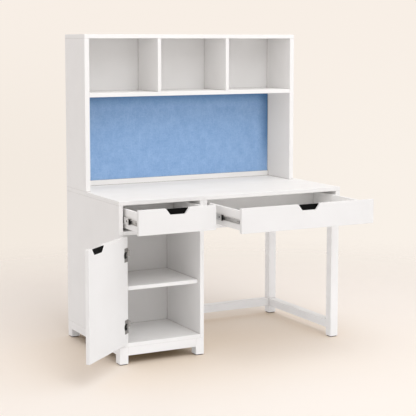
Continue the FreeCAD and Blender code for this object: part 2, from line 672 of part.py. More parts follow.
def build_door():
    """Door panel with its pull, and two hinges."""
    door = notched_panel("door_panel", DOOR_WIDTH, DOOR_HEIGHT, f"({DOOR_WIDTH} - door_notch_at)")
    for thing in list(door.Group):
        if thing.TypeId == "Sketcher::SketchObject":
            bind(thing, AttachmentOffset__Base__x="reveal / 2")
            bind(thing, AttachmentOffset__Base__z="-knuckle_radius")
    middle = "(reveal / 2 + cup_edge)"
    for centre in hinge_heights():
        from_foot = f"({centre} - {DOOR_FOOT})"
        rod(door, "SubtractiveCylinder", "cup_bore", (middle, PANEL_IN, from_foot), (0, -1, 0),
            "cup_radius + cup_play", "cup_deep + cup_play")
        for sign in (1, -1):
            at = (middle, PANEL_IN, f"{from_foot} + {sign} * (flange_half - screw_margin)")
            rod(door, "SubtractiveCylinder", "screw_bore", at, (0, -1, 0),
                "screw_radius + screw_play", "screw_in + screw_play")
    hang(door, DOOR_FOOT, "door_panel")
    insert = pull_insert("door_pull")
    for thing in list(insert.Group):
        if thing.TypeId == "Sketcher::SketchObject":
            bind(thing, AttachmentOffset__Base__x=f"reveal / 2 + {DOOR_WIDTH} - door_notch_at")
            bind(thing, AttachmentOffset__Base__z="-knuckle_radius - pull_front")
    hang(insert, f"{DOOR_FOOT} + {DOOR_HEIGHT}", "door_pull")
    cups, cup_screws, arms, plate_screws, pins = [], [], [], [], []
    for height in hinge_heights():
        cups.append(hang(hinge_cup(), height))
        cup_screws += [hang(cup_screw(sign), height) for sign in (1, -1)]
        arms.append(hinge_arm(height))
        plate_screws += [plate_screw(height, sign) for sign in (1, -1)]
        pins.append(new_rod("hinge_pin", (AXIS_X, "-knuckle_radius", f"{height} - leaf_half"), (0, 0, 1),
                            "hinge_pin_radius", "2 * leaf_half"))
    group("hinge_cups", cups)
    group("hinge_cup_screws", cup_screws)
    group("hinge_arms", arms)
    group("hinge_plate_screws", plate_screws)
    group("hinge_pins", pins)


def knuckle(body, foot, head, leaf_near, leaf_far, leaf_back):
    """A knuckle round the hinge line, joined to its leaf."""
    tall = f"{head} - ({foot})"
    rod(body, "AdditiveCylinder", "knuckle", ("0", "0", foot), (0, 0, 1), "knuckle_radius", tall)
    block(body, "AdditiveBox", "web", (leaf_near, "0", foot), (leaf_far, leaf_back, head))


def pin_bore(body):
    rod(body, "SubtractiveCylinder", "pin_bore", ("0", "0", "-2 * leaf_half"), (0, 0, 1),
        "hinge_pin_radius + hinge_pin_play", "4 * leaf_half")


def hinge_cup():
    """The door's half: leaf on the door's edge, flange on its inner face, cup in its bore."""
    body = new_body("hinge_cup")
    near, far = "(reveal / 2 - leaf_thick)", "(reveal / 2)"
    middle = "(reveal / 2 + cup_edge)"
    clear = "(knuckle_radius + knuckle_play)"
    skin = f"({PANEL_IN} + flange_thick)"
    corner = (f"{middle} + cup_edge / 2", skin, "flange_half")
    block(body, "AdditiveBox", "flange", (near, PANEL_IN, "-flange_half"), corner)
    block(body, "AdditiveBox", "leaf", (near, clear, "-leaf_half"), (far, skin, "leaf_half"))
    knuckle(body, "knuckle_half + knuckle_play", "leaf_half", near, far, clear)
    knuckle(body, "-leaf_half", "-knuckle_half - knuckle_play", near, far, clear)
    mouth, bore_radius = (middle, skin, "0"), "cup_radius - cup_wall"
    depth = "cup_deep + flange_thick"
    rod(body, "AdditiveCylinder", "cup", mouth, (0, -1, 0), "cup_radius", depth)
    rod(body, "SubtractiveCylinder", "hollow", mouth, (0, -1, 0), bore_radius, f"{depth} - cup_wall")
    for sign in (1, -1):
        at = (middle, skin, f"{sign} * (flange_half - screw_margin)")
        rod(body, "SubtractiveCylinder", "screw_hole", at, (0, -1, 0), "screw_radius + screw_play",
            "2 * flange_thick")
    pin_bore(body)
    return body


def cup_screw(sign):
    """A screw through the flange into the door."""
    body = new_body("cup_screw")
    middle = "(reveal / 2 + cup_edge)"
    at = (middle, f"{PANEL_IN} + flange_thick", f"{sign} * (flange_half - screw_margin)")
    rod(body, "AdditiveCylinder", "head", at, (0, 1, 0), "screw_head", "head_tall")
    rod(body, "AdditiveCylinder", "shank", at, (0, -1, 0), "screw_radius", "flange_thick + screw_in")
    return body


def hinge_arm(height):
    """The cabinet's half: leaf in the gap, cranked arm and plate on the side panel."""
    body = new_body("hinge_arm")
    wall = "(-reveal / 2)"
    front = "knuckle_radius"
    arm_front = f"({PANEL_IN} + flange_thick + arm_gap)"
    bend = f"({arm_front} + arm_thick)"
    end = f"({front} + arm_end)"
    plan = [
        (wall, arm_front),
        (f"{wall} + arm_nose", arm_front),
        (f"{wall} + arm_nose", f"{bend}"),
        (f"{wall} + arm_thick", f"{bend} + arm_thick"),
        (f"{wall} + arm_thick", end),
        (wall, end),
    ]
    slab = outline(body, "plan", plan, "XY_Plane")
    bind(slab, AttachmentOffset__Base__z="-arm_half")
    pad(body, slab, "2 * arm_half", backward=False)
    leaf_far = f"({wall} + leaf_thick)"
    block(body, "AdditiveBox", "leaf", (wall, front, "-knuckle_half"), (leaf_far, bend, "knuckle_half"))
    knuckle(body, "-knuckle_half", "knuckle_half", wall, leaf_far, front)
    block(body, "AdditiveBox", "plate", (wall, f"{front} + plate_from", "-plate_half"),
          (f"{wall} + plate_thick", f"{front} + plate_to", "plate_half"))
    for sign in (1, -1):
        rod(body, "SubtractiveCylinder", "screw_hole", plate_screw_at(sign), (-1, 0, 0),
            "screw_radius + screw_play", "2 * plate_thick")
    pin_bore(body)
    place(body, AXIS_X, "-knuckle_radius", height)
    return body


def plate_screw_at(sign):
    """A screw's place on the plate, from the hinge line."""
    return ("plate_thick - reveal / 2", "knuckle_radius + (plate_from + plate_to) / 2",
            f"{sign} * (plate_half - screw_margin)")


def plate_screw(height, sign):
    """A screw through the hinge plate into the side panel, with its hole in the panel."""
    body = new_body("plate_screw")
    at = plate_screw_at(sign)
    rod(body, "AdditiveCylinder", "head", at, (1, 0, 0), "screw_head", "head_tall")
    rod(body, "AdditiveCylinder", "shank", at, (-1, 0, 0), "screw_radius", "plate_thick + screw_in")
    place(body, AXIS_X, "-knuckle_radius", height)
    mouth = ("side_thick", "(plate_from + plate_to) / 2", f"{height} + {at[2]}")
    rod(body_named("cabinet_left_side"), "SubtractiveCylinder", "screw_bore",
        local("cabinet_left_side", mouth), (-1, 0, 0), "screw_radius + screw_play", "screw_in + screw_play")
    return body


# ---- write --------------------------------------------------------------------------------


def check(thing, solids=None):
    """Stop on a failed object or a bad shape."""
    if "Invalid" in thing.State or "Error" in thing.State:
        raise RuntimeError(f"{thing.Label} failed: {thing.State}")
    if solids is not None and (thing.Shape.isNull() or not thing.Shape.isValid() or not solids):
        raise RuntimeError(f"{thing.Label} has a bad shape")


def write_parts():
    """Check the document and write one file for each node."""
    DOC.recompute()
    for thing in DOC.Objects:
        check(thing)
    os.makedirs("parts", exist_ok=True)
    for thing in NODES:
        check(thing, thing.Shape.Solids)
        thing.Shape.exportStep(f"parts/{thing.Label}.step")
        print(f"{thing.Label}: {len(thing.Shape.Solids)} solid(s), {thing.Shape.Volume / 1000:.1f} cm3")


make_sheet()
build_desk()
build_hutch()
build_drawer("small", "side_thick", INNER_RIGHT, "small_pull")
build_drawer("wide", BAY_LEFT, BAY_RIGHT, "wide_pull")
build_door()
build_dowels()
write_parts()
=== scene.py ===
"""Looks of a white student desk with a hutch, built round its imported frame.

All sizes are in metres in the frame's own axes: +X to the right, +Y to the back, +Z up, with
the origin under the middle of the front left foot.  The two drawers and the door stand open.
"""
import logging
import math
from dataclasses import dataclass, field, replace
from enum import Enum
from typing import Optional, Sequence, Union

import bmesh
import bpy
from mathutils import Matrix, Vector, noise


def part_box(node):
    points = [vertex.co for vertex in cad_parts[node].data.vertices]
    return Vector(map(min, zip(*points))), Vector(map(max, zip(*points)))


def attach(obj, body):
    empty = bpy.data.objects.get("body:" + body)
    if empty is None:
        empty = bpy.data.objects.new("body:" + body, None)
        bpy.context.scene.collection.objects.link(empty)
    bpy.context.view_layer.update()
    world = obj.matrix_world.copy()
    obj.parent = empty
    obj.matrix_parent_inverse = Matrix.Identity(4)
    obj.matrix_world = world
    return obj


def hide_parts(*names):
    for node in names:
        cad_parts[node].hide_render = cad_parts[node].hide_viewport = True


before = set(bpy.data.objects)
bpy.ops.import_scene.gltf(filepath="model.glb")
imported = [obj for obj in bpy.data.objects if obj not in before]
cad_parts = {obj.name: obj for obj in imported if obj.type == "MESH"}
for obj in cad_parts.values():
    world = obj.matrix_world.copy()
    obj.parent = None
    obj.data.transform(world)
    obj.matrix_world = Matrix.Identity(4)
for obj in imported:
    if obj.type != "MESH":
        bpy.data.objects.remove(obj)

log = logging.getLogger("student_desk")

Node, Tree, Plug = bpy.types.Node, bpy.types.NodeTree, bpy.types.NodeSocket
Material, Vert = bpy.types.Material, bmesh.types.BMVert
Colour = tuple[float, float, float]
Pair = tuple[float, float]
Triple = tuple[float, float, float]
VIEW_YAW = 27.79


# ---- node helpers ----


class Socket(Enum):
    """Kinds of group sockets."""

    NUMBER = "NodeSocketFloat"
    COLOUR = "NodeSocketColor"
    VECTOR = "NodeSocketVector"


def rgba(colour: Sequence[float]) -> tuple[float, float, float, float]:
    """Add full alpha to a colour."""
    return (colour[0], colour[1], colour[2], 1.0)


@dataclass
class Wiring:
    """A small helper round one node tree."""

    tree: Tree

    def node(self, kind: str, **settings: object) -> Node:
        """Add a node and set its properties.

        Args:
            kind: the node's type without the ShaderNode prefix.
            settings: attributes of the node.

        Returns:
            The new node.
        """
        made = self.tree.nodes.new("ShaderNode" + kind)
        for key, value in settings.items():
            setattr(made, key, value)
        return made

    def feed(self, target: Plug, value: object) -> None:
        """Give an input either a link or a constant."""
        if isinstance(value, Plug):
            self.tree.links.new(value, target)
        else:
            target.default_value = value

    def fill(self, made: Node, **values: object) -> Node:
        """Feed a node's inputs; an underscore in a key stands for a space in the input's name."""
        for key, value in values.items():
            self.feed(made.inputs[key.replace("_", " ")], value)
        return made

    def noise(self, place: object, scale: object, detail: float = 3.0,
              rough: float = 0.55) -> Plug:
        """Add a noise texture and return its value."""
        made = self.node("TexNoise")
        return self.fill(made, Vector=place, Scale=scale, Detail=detail, Roughness=rough).outputs[0]

    def cells(self, place: object, scale: object) -> Plug:
        """Add a Voronoi texture and return the distance to its nearest point."""
        return self.fill(self.node("TexVoronoi"), Vector=place, Scale=scale).outputs["Distance"]

    def math(self, operation: str, first: object, second: object = 0.0,
             clamp: bool = False) -> Plug:
        """Add a math node and return its value."""
        made = self.node("Math", operation=operation, use_clamp=clamp)
        self.feed(made.inputs[0], first)
        self.feed(made.inputs[1], second)
        return made.outputs[0]

    def span(self, value: object, low: float, high: float, to_low: object = 0.0,
             to_high: object = 1.0, smooth: bool = False) -> Plug:
        """Map a value from one range to another, clamped.

        Args:
            value: what is mapped.
            low: start of the first range.
            high: end of the first range.
            to_low: result at low.
            to_high: result at high.
            smooth: ease in and out.

        Returns:
            The mapped value.
        """
        made = self.node("MapRange")
        if smooth:
            made.interpolation_type = "SMOOTHSTEP"
        self.fill(made, Value=value, From_Min=low, From_Max=high, To_Min=to_low, To_Max=to_high)
        return made.outputs["Result"]

    def mix(self, share: object, first: object, second: object) -> Plug:
        """Mix two colours and return the result."""
        made = self.node("Mix", data_type="RGBA")
        for index, item in ((0, share), (6, first), (7, second)):
            self.feed(made.inputs[index], item)
        return made.outputs[2]

    def scaled(self, place: object, factors: object) -> Plug:
        """Stretch a vector by three factors."""
        made = self.node("VectorMath", operation="MULTIPLY")
        self.feed(made.inputs[0], place)
        self.feed(made.inputs[1], factors)
        return made.outputs[0]

    def split(self, vector: object) -> Node:
        """Part a vector into its three numbers."""
        made = self.node("SeparateXYZ")
        self.feed(made.inputs[0], vector)
        return made

    def bump(self, height: object, distance: float, strength: float) -> Plug:
        """Turn a height into a normal."""
        made = self.node("Bump")
        self.fill(made, Strength=strength, Distance=distance, Height=height)
        return made.outputs["Normal"]

    def use(self, effect: Tree, **values: object) -> Node:
        """Place an effect and feed its inputs."""
        return self.fill(self.node("Group", node_tree=effect), **values)

    def nook(self, reach: float, samples: int = 6) -> Plug:
        """How open a spot lies, from nought in a tight nook to one."""
        made = self.node("AmbientOcclusion", samples=samples)
        return self.fill(made, Distance=reach).outputs["AO"]

    def place(self) -> Plug:
        """The piece's own coordinates, in metres."""
        return self.node("TexCoord").outputs["Object"]


@dataclass
class Group:
    """A shader node group in the making."""

    name: str
    inputs: Sequence[tuple[str, Socket, object]]
    outputs: Sequence[tuple[str, Socket]]
    wire: Wiring = field(init=False)
    source: Node = field(init=False)
    target: Node = field(init=False)

    def __post_init__(self) -> None:
        """Make the tree and its named sockets."""
        tree = bpy.data.node_groups.new(self.name, "ShaderNodeTree")
        for label, kind, value in self.inputs:
            made = tree.interface.new_socket(name=label, in_out="INPUT", socket_type=kind.value)
            made.default_value = value
        for label, kind in self.outputs:
            tree.interface.new_socket(name=label, in_out="OUTPUT", socket_type=kind.value)
        self.wire = Wiring(tree)
        self.source = tree.nodes.new("NodeGroupInput")
        self.target = tree.nodes.new("NodeGroupOutput")

    def take(self, label: str) -> Plug:
        """One of the group's inputs."""
        return self.source.outputs[label]

    def give(self, **values: object) -> Tree:
        """Feed the group's outputs and return its tree."""
        self.wire.fill(self.target, **values)
        return self.wire.tree


PLACE = ("Place", Socket.VECTOR, (0.0, 0.0, 0.0))


def paint_film() -> Tree:
    """Sprayed paint: a cloudy shade, fine orange peel and a few dust nibs."""
    group = Group("paint_film", [PLACE, ("Colour", Socket.COLOUR, (1, 1, 1, 1)),
                                 ("Shade", Socket.COLOUR, (1, 1, 1, 1)),
                                 ("Cloud Scale", Socket.NUMBER, 5.0),
                                 ("Peel Scale", Socket.NUMBER, 700.0)],
                  [("Colour", Socket.COLOUR), ("Mask", Socket.NUMBER), ("Height", Socket.NUMBER)])
    wire, place = group.wire, group.take("Place")
    cloud = wire.noise(place, group.take("Cloud Scale"), 3.0, 0.5)
    peel = wire.noise(place, group.take("Peel Scale"), 2.0, 0.45)
    nibs = wire.span(wire.cells(place, 45.0), 0.0, 0.035, 1.0, 0.0)
    share = wire.span(cloud, 0.36, 0.66)
    colour = wire.mix(share, group.take("Colour"), group.take("Shade"))
    height = wire.math("MAXIMUM", peel, nibs)
    return group.give(Colour=colour, Mask=cloud, Height=height)


def settled_dust() -> Tree:
    """A thin veil of dust on faces that look up."""
    group = Group("settled_dust", [PLACE, ("Amount", Socket.NUMBER, 0.2)],
                  [("Mask", Socket.NUMBER), ("Height", Socket.NUMBER)])
    wire = group.wire
    normal = wire.node("NewGeometry").outputs["Normal"]
    up = wire.span(wire.split(normal).outputs["Z"], 0.6, 1.0)
    grain = wire.noise(group.take("Place"), 380.0, 4.0, 0.7)
    drift = wire.noise(group.take("Place"), 9.0, 2.0)
    mask = wire.math("MULTIPLY", up, wire.math("MULTIPLY", grain, drift))
    return group.give(Mask=wire.math("MULTIPLY", mask, group.take("Amount")), Height=grain)


def touch_marks() -> Tree:
    """Faint smears left by hands, which change the gloss only."""
    group = Group("touch_marks", [PLACE, ("Scale", Socket.NUMBER, 14.0),
                                  ("Amount", Socket.NUMBER, 0.1)],
                  [("Mask", Socket.NUMBER)])
    wire, place = group.wire, group.take("Place")
    smear = wire.noise(wire.scaled(place, (1.0, 1.0, 0.45)), group.take("Scale"), 5.0, 0.62)
    mask = wire.span(smear, 0.45, 0.72)
    return group.give(Mask=wire.math("MULTIPLY", mask, group.take("Amount")))


def drawn_lines() -> Tree:
    """Fine lines along one direction, as rolling, drawing or growth leaves them."""
    group = Group("drawn_lines", [PLACE, ("Stretch", Socket.VECTOR, (1.0, 0.03, 1.0)),
                                  ("Scale", Socket.NUMBER, 900.0)],
                  [("Mask", Socket.NUMBER), ("Height", Socket.NUMBER)])
    wire = group.wire
    place = wire.scaled(group.take("Place"), group.take("Stretch"))
    lines = wire.noise(place, group.take("Scale"), 4.0, 0.6)
    broad = wire.noise(place, wire.math("MULTIPLY", group.take("Scale"), 0.12), 2.0)
    mask = wire.math("ADD", wire.math("MULTIPLY", lines, 0.6), wire.math("MULTIPLY", broad, 0.4))
    return group.give(Mask=mask, Height=lines)


def moulded_grain() -> Tree:
    """The fine spark grain of moulded plastic."""
    group = Group("moulded_grain", [PLACE, ("Scale", Socket.NUMBER, 1500.0)],
                  [("Mask", Socket.NUMBER), ("Height", Socket.NUMBER)])
    wire, place = group.wire, group.take("Place")
    pits = wire.cells(place, group.take("Scale"))
    soft = wire.noise(place, wire.math("MULTIPLY", group.take("Scale"), 0.3), 3.0)
    mask = wire.math("MULTIPLY", pits, soft)
    return group.give(Mask=soft, Height=mask)


@dataclass
class Effects:
    """The node groups that several finishes share, each built once."""

    film: Tree = field(default_factory=paint_film)
    dust: Tree = field(default_factory=settled_dust)
    marks: Tree = field(default_factory=touch_marks)
    lines: Tree = field(default_factory=drawn_lines)
    grain: Tree = field(default_factory=moulded_grain)


# ---- finishes ----


def new_material(name: str) -> tuple[Material, Wiring, Node]:
    """Start a material.

    Args:
        name: the material's name.

    Returns:
        The material, a wiring helper for its tree and its Principled shader.
    """
    material = bpy.data.materials.new(name)
    material.use_nodes = True
    return material, Wiring(material.node_tree), material.node_tree.nodes["Principled BSDF"]


@dataclass(frozen=True)
class Paint:
    """Sprayed white paint on board, with painted shade in its joints and inside corners."""

    name: str
    colour: Colour
    shade: Colour
    roughness: Pair = (0.5, 0.58)
    specular: float = 0.2
    peel_scale: float = 650.0
    peel_deep: float = 0.00005
    dust: float = 0.5
    corner_shade_reach: float = 0.006
    corner_shade_deep: float = 0.8
    corner_shade_colour: Colour = (0.34, 0.3, 0.26)
    dust_colour: Colour = (0.74, 0.72, 0.69)

    def make(self, effects: Effects) -> Material:
        """Build the material."""
        material, wire, shader = new_material(self.name)
        place = wire.place()
        film = wire.use(effects.film, Place=place, Colour=rgba(self.colour), Shade=rgba(self.shade),
                        Peel_Scale=self.peel_scale)
        dust = wire.use(effects.dust, Place=place, Amount=self.dust)
        marks = wire.use(effects.marks, Place=place, Amount=0.08)
        coat = wire.mix(dust.outputs["Mask"], film.outputs["Colour"], rgba(self.dust_colour))
        # Painted shade: the colour darkens in joints and inside corners, where the surface lies in a
        # tight nook.
        corner_shade = wire.span(wire.nook(self.corner_shade_reach), 0.3, 0.85, self.corner_shade_deep, 0.0, True)
        rough = wire.span(film.outputs["Mask"], 0.3, 0.7, *self.roughness)
        rough = wire.math("ADD", rough, wire.math("MULTIPLY", dust.outputs["Mask"], 0.5))
        wire.fill(shader, Base_Color=wire.mix(corner_shade, coat, rgba(self.corner_shade_colour)),
                  Roughness=wire.math("SUBTRACT", rough, marks.outputs["Mask"], True),
                  Specular_IOR_Level=self.specular,
                  Normal=wire.bump(film.outputs["Height"], self.peel_deep, 0.35))
        return material


@dataclass(frozen=True)
class RawBoard:
    """Bare wood or fibreboard with its own grain."""

    name: str
    colour: Colour
    shade: Colour
    stretch: Triple
    scale: float = 420.0
    roughness: Pair = (0.62, 0.8)
    grain_deep: float = 0.00012

    def make(self, effects: Effects) -> Material:
        """Build the material."""
        material, wire, shader = new_material(self.name)
        place = wire.place()
        lines = wire.use(effects.lines, Place=place, Stretch=self.stretch, Scale=self.scale)
        share = wire.span(lines.outputs["Mask"], 0.36, 0.64)
        wire.fill(shader, Base_Color=wire.mix(share, rgba(self.colour), rgba(self.shade)),
                  Roughness=wire.span(share, 0.0, 1.0, *self.roughness),
                  Normal=wire.bump(lines.outputs["Height"], self.grain_deep, 0.5))
        return material


@dataclass(frozen=True)
class Felt:
    """Blue wool felt: cloudy shades, crossing fibres and a soft sheen, with painted shade near the
    boards above and beside it that fades out towards its foot.
    """

    name: str
    colour: Colour
    deep: Colour
    pale: Colour
    # The colour of the painted shade near the boards round the felt, and how far that shade reaches and
    # fades out above the foot.
    nook: Colour = (0.085, 0.20, 0.40)
    bounce: Colour = (0.60, 0.61, 0.63)
    shade_reach: float = 0.07
    shade_fade: float = 0.2
    cloud_scale: float = 26.0
    clump_scale: float = 150.0
    weave_scale: Pair = (1300.0, 1150.0)
    nap_deep: float = 0.0006

    def make(self, effects: Effects) -> Material:
        """Build the material."""
        material, wire, shader = new_material(self.name)
        place = wire.place()
        cloud = wire.noise(place, self.cloud_scale, 4.0, 0.62)
        clump = wire.noise(place, self.clump_scale, 3.0, 0.6)
        across, upright = (
            wire.use(effects.lines, Place=place, Stretch=stretch, Scale=scale).outputs["Mask"]
            for stretch, scale in zip(((0.16, 1.0, 1.0), (1.0, 1.0, 0.16)), self.weave_scale))
        fibres = wire.math("MAXIMUM", across, upright)
        tone = wire.math("ADD", wire.math("MULTIPLY", cloud, 0.55), wire.math("MULTIPLY", clump, 0.45))
        colour = wire.mix(wire.span(tone, 0.38, 0.62), rgba(self.deep), rgba(self.colour))
        colour = wire.mix(wire.span(fibres, 0.52, 0.74, 0.0, 0.55), colour, rgba(self.pale))
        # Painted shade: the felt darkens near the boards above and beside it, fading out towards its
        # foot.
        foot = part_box("pinboard_fabric")[0].z
        shade = wire.math("MULTIPLY", wire.span(wire.nook(self.shade_reach), 0.5, 1.0, 1.0, 0.0),
                          wire.span(wire.split(place).outputs["Z"], foot, foot + self.shade_fade))
        colour = wire.mix(shade, colour, rgba(self.nook))
        bounced = wire.node("LightPath").outputs["Is Diffuse Ray"]
        colour = wire.mix(bounced, colour, rgba(self.bounce))
        height = wire.math("ADD", fibres, wire.math("MULTIPLY", clump, 0.8))
        wire.fill(shader, Base_Color=colour, Roughness=wire.span(clump, 0.3, 0.7, 0.88, 0.98),
                  Specular_IOR_Level=0.12, Sheen_Weight=0.25, Sheen_Roughness=0.5,
                  Sheen_Tint=rgba(self.pale), Normal=wire.bump(height, self.nap_deep, 0.7))
        return material


@dataclass(frozen=True)
class Moulded:
    """Black or dark moulded plastic, whose part behind tail_from may be of another colour."""

    name: str
    colour: Colour
    worn: Colour
    roughness: Pair
    dust: float = 0.15
    specular: float = 0.4
    tail: Optional[Colour] = None
    tail_from: float = 0.0
    dust_colour: Colour = (0.35, 0.34, 0.32)
    grain_deep: float = 0.0001

    def make(self, effects: Effects) -> Material:
        """Build the material."""
        material, wire, shader = new_material(self.name)
        place = wire.place()
        grain = wire.use(effects.grain, Place=place)
        dust = wire.use(effects.dust, Place=place, Amount=self.dust)
        marks = wire.use(effects.marks, Place=place, Scale=40.0, Amount=0.1)
        share = wire.span(grain.outputs["Mask"], 0.4, 0.7)
        colour = wire.mix(share, rgba(self.colour), rgba(self.worn))
        if self.tail is not None:
            behind = wire.math("GREATER_THAN", wire.split(place).outputs["Y"], self.tail_from)
            colour = wire.mix(behind, colour, rgba(self.tail))
        rough = wire.span(grain.outputs["Mask"], 0.3, 0.7, *self.roughness)
        wire.fill(shader, Base_Color=wire.mix(dust.outputs["Mask"], colour, rgba(self.dust_colour)),
                  Roughness=wire.math("SUBTRACT", rough, marks.outputs["Mask"], True),
                  Specular_IOR_Level=self.specular,
                  Normal=wire.bump(grain.outputs["Height"], self.grain_deep, 0.5))
        return material


@dataclass(frozen=True)
class Plated:
    """Steel sheet or casting with a thin bright plating, with painted shade in its nooks."""

    name: str
    colour: Colour
    dull: Colour
    roughness: Pair
    stretch: Triple = (1.0, 0.03, 1.0)
    corner_shade_reach: float = 0.007
    corner_shade_colour: Colour = (0.05, 0.048, 0.045)
    line_scale: float = 1100.0
    line_deep: float = 0.00004

    def make(self, effects: Effects) -> Material:
        """Build the material."""
        material, wire, shader = new_material(self.name)
        place = wire.place()
        lines = wire.use(effects.lines, Place=place, Stretch=self.stretch, Scale=self.line_scale)
        marks = wire.use(effects.marks, Place=place, Scale=60.0, Amount=0.12)
        share = wire.span(lines.outputs["Mask"], 0.35, 0.65)
        coat = wire.mix(share, rgba(self.colour), rgba(self.dull))
        # Painted shade: the colour darkens in nooks, such as inside the slide channels.
        corner_shade = wire.span(wire.nook(self.corner_shade_reach), 0.2, 0.7, 0.9, 0.0, True)
        rough = wire.span(share, 0.0, 1.0, *self.roughness)
        wire.fill(shader, Base_Color=wire.mix(corner_shade, coat, rgba(self.corner_shade_colour)),
                  Roughness=wire.math("ADD", rough, marks.outputs["Mask"], True), Metallic=1.0,
                  Normal=wire.bump(lines.outputs["Height"], self.line_deep, 0.4))
        return material


Finish = Union[Paint, RawBoard, Felt, Moulded, Plated]


class Slot(Enum):
    """The record's material slots."""

    WHITE = "white_board"
    BACK = "back_board"
    DRAWER = "drawer_board"
    FIBRE = "fibre_board"
    BEECH = "beech"
    CLOTH = "blue_cloth"
    PULL = "black_pull"
    BLACK = "black_plastic"
    GLIDE = "dark_glide"
    ZINC = "zinc_steel"
    NICKEL = "nickel_steel"


FINISHES = {
    Slot.WHITE: Paint("white_paint", (0.915, 0.908, 0.899), (0.895, 0.887, 0.877)),
    Slot.BACK: Paint("back_paint", (0.895, 0.889, 0.880), (0.875, 0.868, 0.857), (0.54, 0.64), 0.18,
                     800.0, corner_shade_deep=0.5),
    # The drawer boxes take a lighter copy of the white paint: painted light for their dim insides.
    Slot.DRAWER: Paint("drawer_paint_lit", (0.965, 0.960, 0.952), (0.950, 0.943, 0.934), (0.52, 0.6), 0.18,
                       560.0, corner_shade_deep=0.35),
    Slot.FIBRE: RawBoard("raw_fibreboard", (0.36, 0.26, 0.15), (0.27, 0.19, 0.11), (1.0, 1.0, 1.0),
                         700.0),
    Slot.BEECH: RawBoard("raw_beech", (0.56, 0.37, 0.2), (0.42, 0.26, 0.13), (1.0, 1.0, 0.06)),
    Slot.CLOTH: Felt("blue_felt", (0.318, 0.50, 0.79), (0.238, 0.41, 0.705), (0.475, 0.645, 0.90)),
    Slot.PULL: Moulded("black_pull", (0.002, 0.002, 0.002), (0.005, 0.005, 0.005), (0.6, 0.75),
                       0.01, 0.08),
    Slot.BLACK: Moulded("black_plastic", (0.004, 0.004, 0.004), (0.010, 0.010, 0.010), (0.5, 0.65),
                        0.05, 0.15),
    Slot.GLIDE: Moulded("dark_glide", (0.03, 0.028, 0.026), (0.045, 0.042, 0.04), (0.6, 0.75)),
    Slot.ZINC: Plated("bright_zinc", (0.80, 0.80, 0.80), (0.66, 0.66, 0.67), (0.42, 0.56)),
    Slot.NICKEL: Plated("satin_nickel", (0.40, 0.39, 0.375), (0.31, 0.30, 0.29), (0.28, 0.4),
                        (1.0, 1.0, 0.05)),
}

NATURAL_NYLON = (0.62, 0.61, 0.59)
# A darker copy of the white paint for the drawer fronts and the door: painted shade that tones down how
# brightly the lamps light them.
SHADED_FRONT_PAINT = Paint("front_paint_shaded", (0.870, 0.864, 0.858), (0.850, 0.843, 0.835))
# A lighter copy of the white paint for the lower boards and the leg frame: painted light.
LIT_LOW_PAINT = Paint("low_paint_lit", (0.955, 0.949, 0.941), (0.938, 0.931, 0.922), corner_shade_deep=0.5)
# A darker zinc for the drawer members; its painted shade reaches further into their channels.
DULL_ZINC = Plated("dull_zinc", (0.70, 0.695, 0.69), (0.58, 0.575, 0.57), (0.42, 0.56),
                   corner_shade_reach=0.0082)


@dataclass
class Workshop:
    """Holds the materials and counts the pieces."""

    effects: Effects = field(default_factory=Effects)
    materials: dict[str, Material] = field(default_factory=dict)
    pieces: int = 0

    def material(self, slot: Slot, finish: Optional[Finish] = None) -> Material:
        """The material of a slot or of a finish within it, built the first time it is wanted."""
        finish = finish or FINISHES[slot]
        if finish.name not in self.materials:
            self.materials[finish.name] = finish.make(self.effects)
        return self.materials[finish.name]

    def coat(self, slot: Slot, *names: str, finish: Optional[Finish] = None) -> None:
        """Give CAD nodes the slot's material, or a finish of their own within the slot."""
        for name in names:
            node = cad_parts[name]
            node.data.materials.clear()
            node.data.materials.append(self.material(slot, finish))
            self.note(name, slot)

    def note(self, name: str, slot: Slot) -> None:
        """Report one finished piece."""
        self.pieces += 1
        log.info("%3d %s: %s", self.pieces, name, slot.value)


# ---- mesh helpers ----


def rounded(points: Sequence[Pair], radius: float, steps: int = 4) -> list[Pair]:
    """Round every corner of a closed outline.

    Args:
        points: the outline's corners in order.
        radius: how far from a corner the rounding starts.
        steps: segments of one rounded corner.

    Returns:
        The corners of the rounded outline.
    """
    result: list[Pair] = []
    count = len(points)
    for index, point in enumerate(points):
        here = Vector(point)
        before = Vector(points[index - 1]) - here
        after = Vector(points[(index + 1) % count]) - here
        start = here + before.normalized() * min(radius, before.length / 2)
        end = here + after.normalized() * min(radius, after.length / 2)
        for step in range(steps + 1):
            t = step / steps
            spot = start * (1 - t) ** 2 + here * 2 * t * (1 - t) + end * t ** 2
            result.append((spot.x, spot.y))
    return result


Ring = list[Vert]


